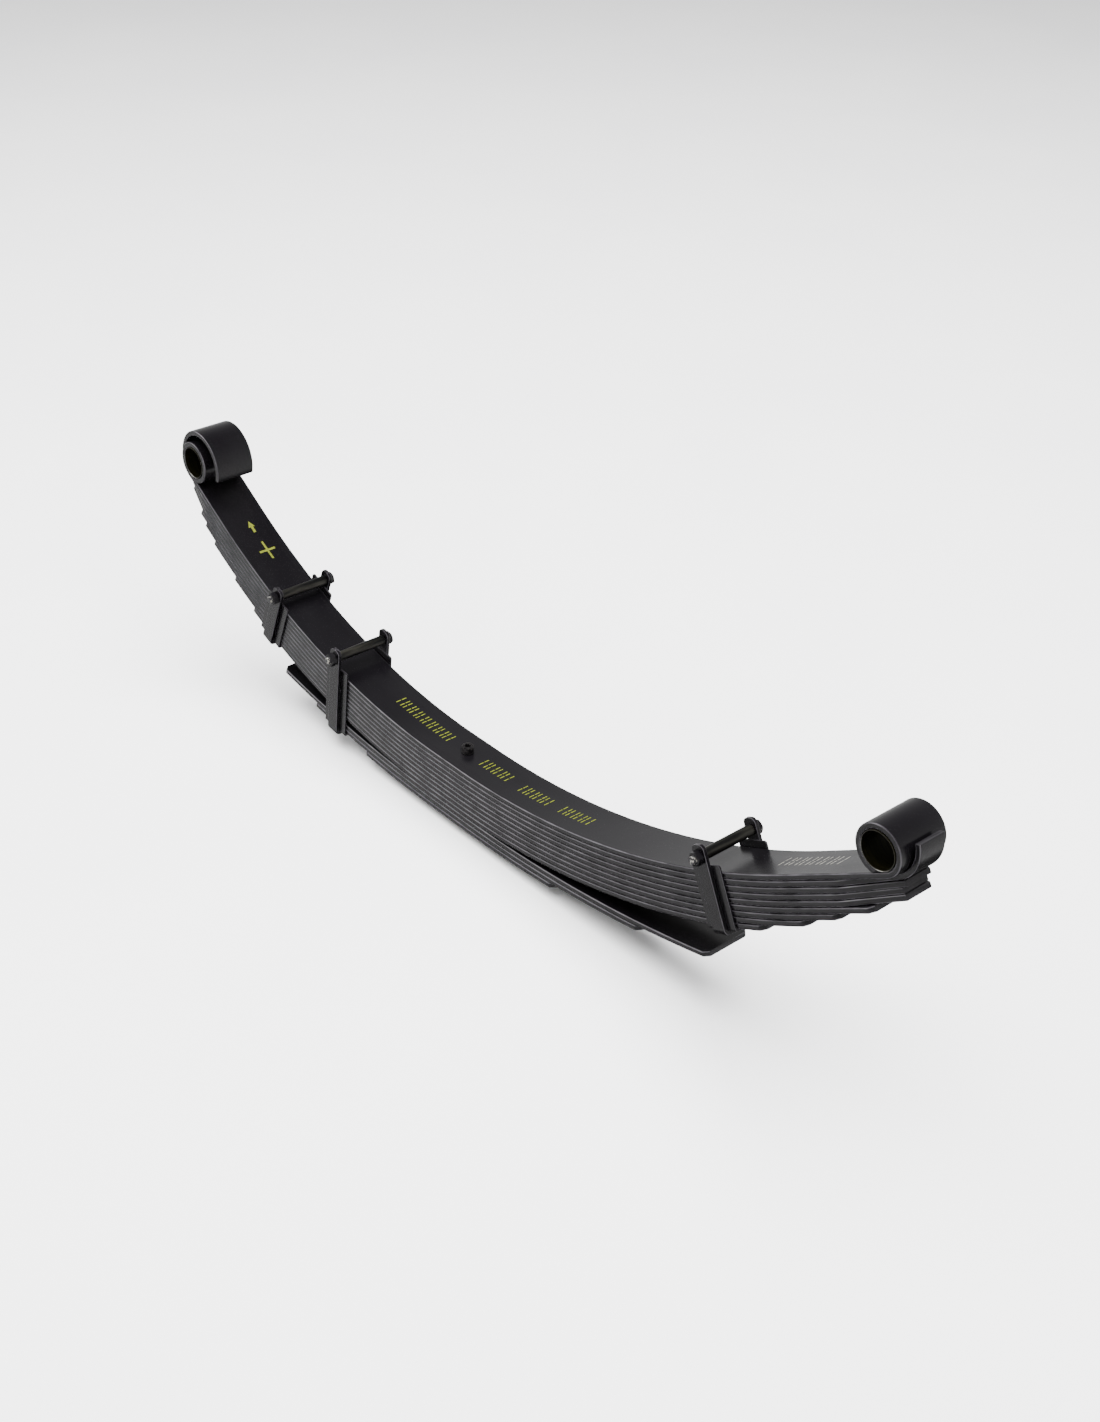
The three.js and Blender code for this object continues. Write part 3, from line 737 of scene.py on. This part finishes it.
class LEAFSPRING_PG_finish(PropertyGroup):
    """Colours that a user would change."""

    paint: FloatVectorProperty(
        name="Paint", description="Chassis paint on leaves and clips", subtype="COLOR", size=3,
        default=to_linear("#070608"))
    oxide: FloatVectorProperty(
        name="Black Oxide", description="Centre bolt and its nut", subtype="COLOR", size=3,
        default=to_linear("#1d1c1e"))
    zinc: FloatVectorProperty(
        name="Zinc", description="Threads and shanks of the clip bolts", subtype="COLOR", size=3,
        default=to_linear("#c4c1b8"))
    tube: FloatVectorProperty(
        name="Spacer Tube", description="Tubes between the ends of each strap", subtype="COLOR", size=3,
        default=to_linear("#282723"))
    sleeve: FloatVectorProperty(
        name="Sleeve", description="Sleeves in the eyes", subtype="COLOR", size=3,
        default=to_linear("#24220f"))
    marking: FloatVectorProperty(
        name="Marking", description="Stencilled marks on the main leaf", subtype="COLOR", size=3,
        default=to_linear("#5d6318"))
    batch: FloatVectorProperty(
        name="Batch Mark", description="Pale marker strokes near the rear eye", subtype="COLOR", size=3,
        default=to_linear("#77756f"))


class LEAFSPRING_OT_finishes(Operator):
    """Makes the materials and the strip's node tree"""

    bl_idname = "leaf_spring.finishes"
    bl_label = "Finishes"

    def execute(self, context):
        finish = context.scene.leaf_spring_finish
        strips["tree"] = strip_tree()
        finishes["paint"] = chassis_paint(finish)
        finishes["oxide"] = black_oxide(finish)
        finishes["zinc"] = zinc_plate(finish)
        finishes["tube"] = tube_steel(finish)
        finishes["sleeve"] = sleeve_steel(finish)
        finishes["rim"] = turned_rim()
        finishes["marking"] = marking_paint("yellow stencil paint", finish.marking, to_linear("#33360f"))
        finishes["batch"] = marking_paint("grey marker paint", finish.batch, to_linear("#2c2c2b"))
        return {"FINISHED"}


class LEAFSPRING_OT_leaves(Operator):
    """Makes the twelve leaves, each one strip from end to end"""

    bl_idname = "leaf_spring.leaves"
    bl_label = "Leaves"

    def execute(self, context):
        sizes = context.scene.leaf_spring_sizes
        half = sizes.leaf_width / MM / 2
        size = (2 * half, LEAF_THICKNESS - 2 * SKIN, sizes.edge_radius / MM)
        across = (0, 1, 0)

        def leaf(name, front, rear, scarf=None):
            piece = strip_piece(name, whole_leaf(front, rear), size, across, finishes["paint"], scarf=scarf)
            bend_with_pack(piece, (f"{name}_front", f"{name}_rear"))

        eyes = (eye_of(FRONT_BOW, FRONT_EYE_REACH), eye_of(REAR_BOW, REAR_EYE_REACH))
        leaf("main_leaf", main_side(FRONT_BOW, FRONT_EYE_REACH, half),
             main_side(REAR_BOW, REAR_EYE_REACH, half), eyes)
        leaf("wrap_leaf", wrap_side(FRONT_BOW, FRONT_EYE_REACH, FRONT_WRAP, half),
             wrap_side(REAR_BOW, REAR_EYE_REACH, REAR_WRAP, half))
        for i, (name, (front, front_end, rear, rear_end)) in enumerate(PLAIN_LEAVES.items()):
            depth = (i + 2) * PITCH
            leaf(name, leaf_side(FRONT_BOW, depth, front, front_end, half),
                 leaf_side(REAR_BOW, depth, rear, rear_end, half))
        for i, (name, (front, rear)) in enumerate(HELPER_LEAVES.items()):
            depth = i * PITCH
            leaf(name, leaf_side(FRONT_HELPER_BOW, depth, front, CLIPPED, half, HELPER_TOP),
                 leaf_side(REAR_HELPER_BOW, depth, rear, CLIPPED, half, HELPER_TOP))
        return {"FINISHED"}


class LEAFSPRING_OT_sleeves(Operator):
    """Makes the thin sleeve pressed into each eye"""

    bl_idname = "leaf_spring.sleeves"
    bl_label = "Eye Sleeves"

    def execute(self, context):
        outside = EYE_BORE_RADIUS - FIT_GAP
        bore = outside - SLEEVE_WALL
        end = context.scene.leaf_spring_sizes.leaf_width / MM / 2 + SLEEVE_PROUD
        half_profile = [(bore, 0), (bore, end - END_EASE), (bore + END_EASE, end), (outside - END_EASE, end),
                        (outside, end - END_EASE), (outside, 0)]
        rings = [(round_at(r), z) for r, z in half_profile]
        rings += [(round_at(r), -z) for r, z in half_profile[-2:0:-1]]
        for name, bow, reach in (("front_eye_sleeve", FRONT_BOW, FRONT_EYE_REACH),
                                 ("rear_eye_sleeve", REAR_BOW, REAR_EYE_REACH)):
            place = along_y(Matrix.Translation(eye_of(bow, reach)["centre"] * MM), 0)
            piece = turned_piece(name + "_turned", rings, place, finishes["sleeve"], closed=True)
            piece.data.materials.append(finishes["rim"])
            rim_spans = (1, 2, len(rings) - 3, len(rings) - 2)
            for face in piece.data.polygons:
                if face.index // ROUND_STEPS in rim_spans:
                    face.material_index = 1
            bend_with_pack(piece, (name,))
        return {"FINISHED"}


class LEAFSPRING_OT_clips(Operator):
    """Makes the three rebound clips with their tubes, bolts, nuts and rivets"""

    bl_idname = "leaf_spring.clips"
    bl_label = "Rebound Clips"

    def execute(self, context):
        half = context.scene.leaf_spring_sizes.leaf_width / MM / 2
        liner_inside = half + FIT_GAP
        strap_inside = liner_inside + LINER["thickness"] + FIT_GAP
        strap_outside = strap_inside + STRAP["thickness"]
        for name, clip in CLIPS.items():
            self.make_clip(name, clip, liner_inside, strap_inside, strap_outside)
        return {"FINISHED"}

    def make_clip(self, name, clip, liner_inside, strap_inside, strap_outside):
        matrix, drop = clip_place(clip)
        across = (1, 0, 0)
        liner_bottom = -drop - FIT_GAP
        strap_bottom = liner_bottom - LINER["thickness"] - FIT_GAP
        head = clip["rise"] + STRAP["above_bolt"]

        thickness = STRAP["thickness"]
        path = channel_path(strap_inside + thickness / 2, strap_bottom - thickness / 2, head,
                            STRAP["corner"] - thickness / 2, strap_width(head))
        strap = strip_piece(f"{name}_band", path, (STRAP["width"], thickness, STRAP_EDGE), across,
                            finishes["paint"], matrix)
        bend_with_pack(strap, (f"{name}_strap",))

        thickness = LINER["thickness"]
        path = channel_path(liner_inside + thickness / 2, liner_bottom - thickness / 2, LINER["rise"],
                            LINER["corner"] - thickness / 2, liner_width)
        liner = strip_piece(f"{name}_channel", path, (LINER["width"], thickness, LINER_EDGE), across,
                            finishes["paint"], matrix)
        bend_with_pack(liner, (f"{name}_liner",))

        place = along_y(matrix, clip["rise"])
        tube_end = strap_inside - FIT_GAP
        bore = BOLT_RADIUS + FIT_GAP
        eased = TUBE_RADIUS - TUBE_EASE
        side_end = tube_end - TUBE_EASE
        profile = [(bore, -tube_end), (eased, -tube_end), (TUBE_RADIUS, -side_end),
                   (TUBE_RADIUS, side_end), (eased, tube_end), (bore, tube_end)]
        tube = turned_piece(f"{name}_spacer", [(round_at(r), z) for r, z in profile], place,
                            finishes["tube"], closed=True)
        bend_with_pack(tube, (f"{name}_tube",))

        head_low = strap_outside + FIT_GAP
        head_high = head_low + CLIP_HEAD["height"]
        nut_far = head_low + CLIP_NUT["height"]
        tip = nut_far + BOLT_END
        thread_stop = CLIP_THREAD_IN - nut_far
        rings = thread_rings(BOLT_RADIUS, -tip, thread_stop)
        rings += [(round_at(BOLT_RADIUS), thread_stop + SHANK_STEP), (round_at(BOLT_RADIUS), head_low)]
        rings += hex_rings(CLIP_HEAD["across"], head_low, head_high, 0)
        bolt = turned_piece(f"{name}_hex_bolt", rings, place, finishes["zinc"])
        bolt.data.materials.append(finishes["paint"])
        shank_faces = (len(rings) - 4) * ROUND_STEPS
        last = len(bolt.data.polygons) - 1
        for face in bolt.data.polygons:
            on_head = face.index >= shank_faces and len(face.vertices) == 4
            if on_head or face.index == last:
                face.material_index = 1
        bend_with_pack(bolt, (f"{name}_bolt",))

        nut = turned_piece(f"{name}_hex_nut", hex_rings(CLIP_NUT["across"], -nut_far, -head_low, bore), place,
                           finishes["paint"], closed=True)
        bend_with_pack(nut, (f"{name}_nut",))

        seat = strap_bottom - STRAP["thickness"] - FIT_GAP
        shank = round_at(RIVET["shank_radius"])
        rings = [(shank, liner_bottom + LEAF_THICKNESS), (shank, seat)]
        steps = 8
        for i in range(steps + 1):
            angle = math.pi / 2 * i / steps
            radius = max(RIVET["tip_radius"], RIVET["radius"] * math.cos(angle))
            rings.append((round_at(radius), seat - RIVET["height"] * math.sin(angle)))
        rivet = turned_piece(f"{name}_rivet_head", rings, matrix, finishes["paint"])
        bend_with_pack(rivet, (f"{name}_rivet",))


class LEAFSPRING_OT_centre(Operator):
    """Makes the centre bolt and its nut"""

    bl_idname = "leaf_spring.centre"
    bl_label = "Centre Bolt"

    def execute(self, context):
        here = Matrix.Identity(4)
        depth = (PACK_LEAVES + len(HELPER_LEAVES)) * PITCH - FIT_GAP
        nut_top = -depth - FIT_GAP
        nut_bottom = nut_top - CENTRE_NUT["height"]
        top = FIT_GAP + CENTRE_HEAD["height"]
        radius = CENTRE_HEAD["radius"]
        floor = top - CENTRE_HEAD["socket_depth"]
        socket = hex_at(CENTRE_HEAD["socket_across"])
        mouth = CENTRE_HEAD["socket_across"] / math.sqrt(3) + CENTRE_HEAD["mouth"]
        foot = CENTRE_HEAD["foot"]
        crown = CENTRE_HEAD["crown"]
        shoulder = 0.3 * crown
        thread_stop = nut_bottom + CENTRE_THREAD_IN
        rings = thread_rings(BOLT_RADIUS, nut_bottom - BOLT_END, thread_stop)
        rings += [(round_at(BOLT_RADIUS), thread_stop + SHANK_STEP), (round_at(BOLT_RADIUS), FIT_GAP),
                  (round_at(radius - foot), FIT_GAP), (round_at(radius), FIT_GAP + foot),
                  (round_at(radius), top - crown), (round_at(radius - shoulder), top - shoulder),
                  (round_at(radius - crown), top), (round_at(mouth), top),
                  (socket, top - CENTRE_HEAD["mouth_depth"]), (socket, floor)]
        bolt = turned_piece("centre_bolt_turned", rings, here, finishes["oxide"])
        bend_with_pack(bolt, ("centre_bolt",))
        bore = BOLT_RADIUS + FIT_GAP
        nut = turned_piece("centre_nut_hex", hex_rings(CENTRE_NUT["across"], nut_bottom, nut_top, bore), here,
                           finishes["oxide"], closed=True)
        bend_with_pack(nut, ("centre_nut",))
        return {"FINISHED"}


class LEAFSPRING_OT_marks(Operator):
    """Lays the stencilled marks on the main leaf: an arrow, a cross and rows of plain strokes"""

    bl_idname = "leaf_spring.marks"
    bl_label = "Stencilled Marks"

    def execute(self, context):
        height = context.scene.leaf_spring_sizes.mark_height / MM
        verts = []
        faces = []

        def patch(from_x, to_x, low_at, high_at):
            """A thin tile between two places along X, its sides given as functions of its length."""
            bow = FRONT_BOW if from_x < 0 else REAR_BOW
            steps = 6
            start = len(verts)
            for lift in (SKIN + MARK_SINK, SKIN - height):
                for i in range(steps + 1):
                    share = i / steps
                    at = reach_at(bow, abs(from_x + (to_x - from_x) * share))
                    for y in (low_at(share), high_at(share)):
                        point = on_bow(bow, at, lift)[0]
                        verts.append((point + Vector((0, y, 0))) * MM)
            layer = 2 * (steps + 1)
            for i in range(steps):
                a = start + 2 * i
                faces.append((a, a + 1, a + 3, a + 2))
                faces.append((a + layer, a + layer + 2, a + layer + 3, a + layer + 1))
                faces.append((a, a + 2, a + layer + 2, a + layer))
                faces.append((a + 1, a + layer + 1, a + layer + 3, a + 3))
            end = start + 2 * steps
            faces.append((start, start + layer, start + layer + 1, start + 1))
            faces.append((end, end + 1, end + layer + 1, end + layer))

        def bar(x, length, y, width):
            patch(x, x + length, lambda s: y - width / 2, lambda s: y + width / 2)

        def tally(x, low, high, width):
            """A stroke across the leaf in two parts, with the bridge of a cut stencil between them."""
            part = (high - low - MARK_ROW["bridge"]) / 2
            bar(x, width, low + part / 2, part)
            bar(x, width, high - part / 2, part)

        def row(x, count, low, high, width):
            """Pairs of plain strokes along the leaf."""
            for i in range(count):
                tally(x + i * MARK_ROW["pitch"], low, high, width)
                tally(x + i * MARK_ROW["pitch"] + MARK_ROW["pair"], low, high, width)

        middle, half = ARROW["middle"], ARROW["half"]
        patch(ARROW["tip"], ARROW["neck"], lambda s: middle - half * s, lambda s: middle + half * s)
        for place in MARK_BARS:
            bar(*place)
        for place in STENCIL_ROWS:
            row(*place, MARK_ROW["stroke"])
        self.finish_marks("stencil_marks", verts, faces, finishes["marking"])
        verts.clear()
        faces.clear()
        row(*BATCH_ROW, BATCH_STROKE)
        self.finish_marks("batch_marks", verts, faces, finishes["batch"])
        return {"FINISHED"}

    def finish_marks(self, name, verts, faces, material):
        mesh = bpy.data.meshes.new(name)
        mesh.from_pydata(verts, [], faces)
        outward(mesh)
        mesh.materials.append(material)
        marks = link_mesh(name, mesh)
        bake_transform(marks)


class LEAFSPRING_OT_stage(Operator):
    """Makes the floor, the soft studio light and the camera"""

    bl_idname = "leaf_spring.stage"
    bl_label = "Stage"

    def execute(self, context):
        low = CAD_BOX[0][2]
        corners = ((-1, -1), (1, -1), (1, 1), (-1, 1))
        mesh = bpy.data.meshes.new("floor")
        mesh.from_pydata([(x * FLOOR_HALF, y * FLOOR_HALF, low) for x, y in corners], [], [(0, 1, 2, 3)])
        mesh.materials.append(floor_white())
        floor = link_mesh("floor", mesh)
        # Seen in the paint's gloss, the white floor would fill the grooves with light.
        floor.visible_glossy = False
        self.light_stage(context)
        self.place_camera(context)
        return {"FINISHED"}

    def light_stage(self, context):
        """A soft band of light round the horizon, a large box overhead and one on the near side."""
        world = bpy.data.worlds.new("studio")
        context.scene.world = world
        world.use_nodes = True
        tree = world.node_tree
        direction = add_node(tree, "ShaderNodeTexCoord").outputs["Generated"]
        height = add_node(tree, "ShaderNodeSeparateXYZ", {"Vector": direction}).outputs["Z"]
        place = remap(tree, height, -1.0, 1.0)
        ramp = add_node(tree, "ShaderNodeValToRGB", {"Fac": place})
        points = ramp.color_ramp.elements
        while len(points) < len(SKY):
            points.new(0.5)
        for point, (z, level) in zip(points, SKY):
            point.position = (z + 1) / 2
            point.color = (level, level, level, 1)
        tree.links.new(ramp.outputs["Color"], tree.nodes["Background"].inputs["Color"])
        self.soft_box(context, "overhead_box", OVERHEAD_BOX)
        self.soft_box(context, "near_box", NEAR_BOX)

    def soft_box(self, context, name, box):
        """A square light that faces the centre bolt."""
        light = bpy.data.lights.new(name, "AREA")
        light.size = box["size"]
        light.energy = box["energy"]
        lamp = bpy.data.objects.new(name, light)
        lamp.location = box["place"]
        lamp.rotation_euler = (-Vector(box["place"])).to_track_quat("-Z", "Y").to_euler()
        lamp.visible_glossy = box["glossy"]
        context.scene.collection.objects.link(lamp)

    def place_camera(self, context):
        yaw, pitch, roll = (math.radians(CAMERA[key]) for key in ("yaw", "pitch", "roll"))
        forward = Vector((math.cos(pitch) * math.cos(yaw), math.cos(pitch) * math.sin(yaw), math.sin(pitch)))
        right = forward.cross(Vector((0, 0, 1))).normalized()
        up = right.cross(forward)
        tilted_right = right * math.cos(roll) + up * math.sin(roll)
        tilted_up = up * math.cos(roll) - right * math.sin(roll)
        turn = Matrix((tilted_right, tilted_up, -forward)).transposed().to_4x4()
        data = bpy.data.cameras.new("camera")
        data.lens = CAMERA["lens"]
        data.sensor_width = CAMERA["sensor"]
        camera = bpy.data.objects.new("camera", data)
        camera.matrix_world = Matrix.Translation(CAMERA["place"]) @ turn
        context.scene.collection.objects.link(camera)
        context.scene.camera = camera


class LEAFSPRING_PT_panel(Panel):
    """Lists the spring's sizes, colours and pieces in the sidebar"""

    bl_label = "Leaf Spring"
    bl_space_type = "VIEW_3D"
    bl_region_type = "UI"
    bl_category = "Leaf Spring"

    def draw(self, context):
        layout = self.layout
        for group in (context.scene.leaf_spring_sizes, context.scene.leaf_spring_finish):
            for key in group.__annotations__:
                layout.prop(group, key)
        for operator in OPERATORS:
            layout.operator(operator.bl_idname)


OPERATORS = (
    LEAFSPRING_OT_finishes, LEAFSPRING_OT_stage, LEAFSPRING_OT_leaves, LEAFSPRING_OT_sleeves,
    LEAFSPRING_OT_clips, LEAFSPRING_OT_centre, LEAFSPRING_OT_marks,
)
CLASSES = (LEAFSPRING_PG_sizes, LEAFSPRING_PG_finish, *OPERATORS, LEAFSPRING_PT_panel)


def register():
    for cls in CLASSES:
        bpy.utils.register_class(cls)
    bpy.types.Scene.leaf_spring_sizes = PointerProperty(type=LEAFSPRING_PG_sizes)
    bpy.types.Scene.leaf_spring_finish = PointerProperty(type=LEAFSPRING_PG_finish)


def unregister():
    del bpy.types.Scene.leaf_spring_finish
    del bpy.types.Scene.leaf_spring_sizes
    for cls in reversed(CLASSES):
        bpy.utils.unregister_class(cls)


def main():
    register()
    for operator in OPERATORS:
        group, name = operator.bl_idname.split(".")
        getattr(getattr(bpy.ops, group), name)()
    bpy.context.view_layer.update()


if __name__ == "__main__":
    main()
